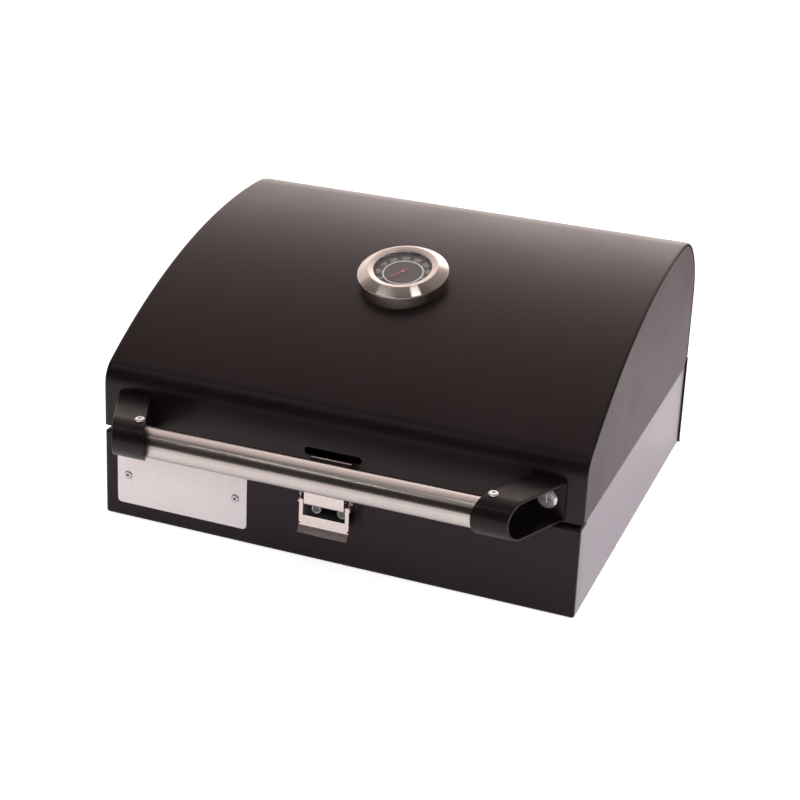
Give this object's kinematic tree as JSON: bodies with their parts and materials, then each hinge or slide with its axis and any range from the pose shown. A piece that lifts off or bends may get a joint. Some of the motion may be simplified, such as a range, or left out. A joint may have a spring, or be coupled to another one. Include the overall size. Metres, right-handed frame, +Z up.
{
  "type": "barbecue grill box",
  "caption": "Table-top sheet-steel grill box with an arched hinged lid, tube handle, lid thermometer, draw latch and cast-iron grates over a burner opening.",
  "frame": {"origin": "centre of the overall footprint, on the surface that the box stands on", "axes": "+X to the right seen from the front, +Y to the back (hinges), +Z up"},
  "size_m": [0.409, 0.4212, 0.2162],
  "materials": {
    "black_powder_coat": "satin black powder coat",
    "black_cast_metal": "satin black paint on cast metal",
    "stainless_steel": "brushed stainless steel",
    "zinc_fasteners": "zinc plate",
    "plated_steel": "satin nickel plate",
    "black_rivets": "painted with the sheet",
    "aluminium_rivets": "plain",
    "coated_steel": "heat-resistant grey coat",
    "cast_iron": "seasoned cast iron",
    "label_face": "satin off-white",
    "dial_face": "matt, dark band round a pale ring",
    "dial_glass": "clear",
    "plain_steel": "plain steel",
    "needle_red": "matt red"
  },
  "bodies": {
    "body": {"body_front_panel": "black_powder_coat", "body_back_panel": "black_powder_coat", "body_side_right": "black_powder_coat", "body_side_left": "black_powder_coat", "bottom_pan": "coated_steel", "grate_ledge_front": "coated_steel", "grate_ledge_rear": "coated_steel", "grate_right": "cast_iron", "grate_left": "cast_iron", "heat_diffuser": "coated_steel", "diffuser_stands": "coated_steel", "label_plate": "label_face", "label_rivets": "aluminium_rivets", "hinge_body_leaves": "black_powder_coat", "hinge_pins": "zinc_fasteners", "hinge_body_rivets": "black_rivets", "latch_base": "plated_steel", "latch_screws": "plated_steel", "latch_pivot_pin": "plated_steel"},
    "lid": {"lid_skin": "black_powder_coat", "lid_end_right": "black_powder_coat", "lid_end_left": "black_powder_coat", "handle_tube": "stainless_steel", "handle_bracket_right": "black_cast_metal", "handle_bracket_left": "black_cast_metal", "handle_top_screws": "plated_steel", "bracket_screws": "zinc_fasteners", "bracket_nuts": "zinc_fasteners", "hinge_lid_leaves": "black_powder_coat", "hinge_lid_rivets": "black_rivets", "thermometer_bezel": "stainless_steel", "thermometer_glass": "dial_glass", "thermometer_case": "plain_steel", "thermometer_dial": "dial_face", "thermometer_stem": "plain_steel", "thermometer_washer": "plain_steel", "thermometer_nut": "plain_steel"},
    "needle": {"thermometer_needle": "needle_red"},
    "latch_lever": {"latch_lever": "plated_steel", "latch_hook_pin": "plated_steel"},
    "latch_hook": {"latch_hook": "plated_steel"}
  },
  "joints": [
    {"name": "lid_hinge", "type": "hinge", "parent": "body", "child": "lid", "pos_m": [0, 0.20765, 0.0867], "axis": [-1, 0, 0], "range_deg": [0, 100]},
    {"name": "latch_lever_hinge", "type": "hinge", "parent": "body", "child": "latch_lever", "pos_m": [0, -0.15865, 0.061], "axis": [-1, 0, 0], "range_deg": [0, 100]},
    {"name": "latch_hook_hinge", "type": "hinge", "parent": "latch_lever", "child": "latch_hook", "pos_m": [0, -0.16305, 0.0564], "axis": [-1, 0, 0], "range_deg": [-116, 0]},
    {"name": "needle_spin", "type": "hinge", "parent": "lid", "child": "needle", "pos_m": [0, -0.01004, 0.20109], "axis": [0, 0.2823, -0.9593], "range_deg": [0, 265]}
  ],
  "couplings": [
    {"joint": "latch_hook_hinge", "follows": "latch_lever_hinge", "ratio": -1.15}
  ]
}
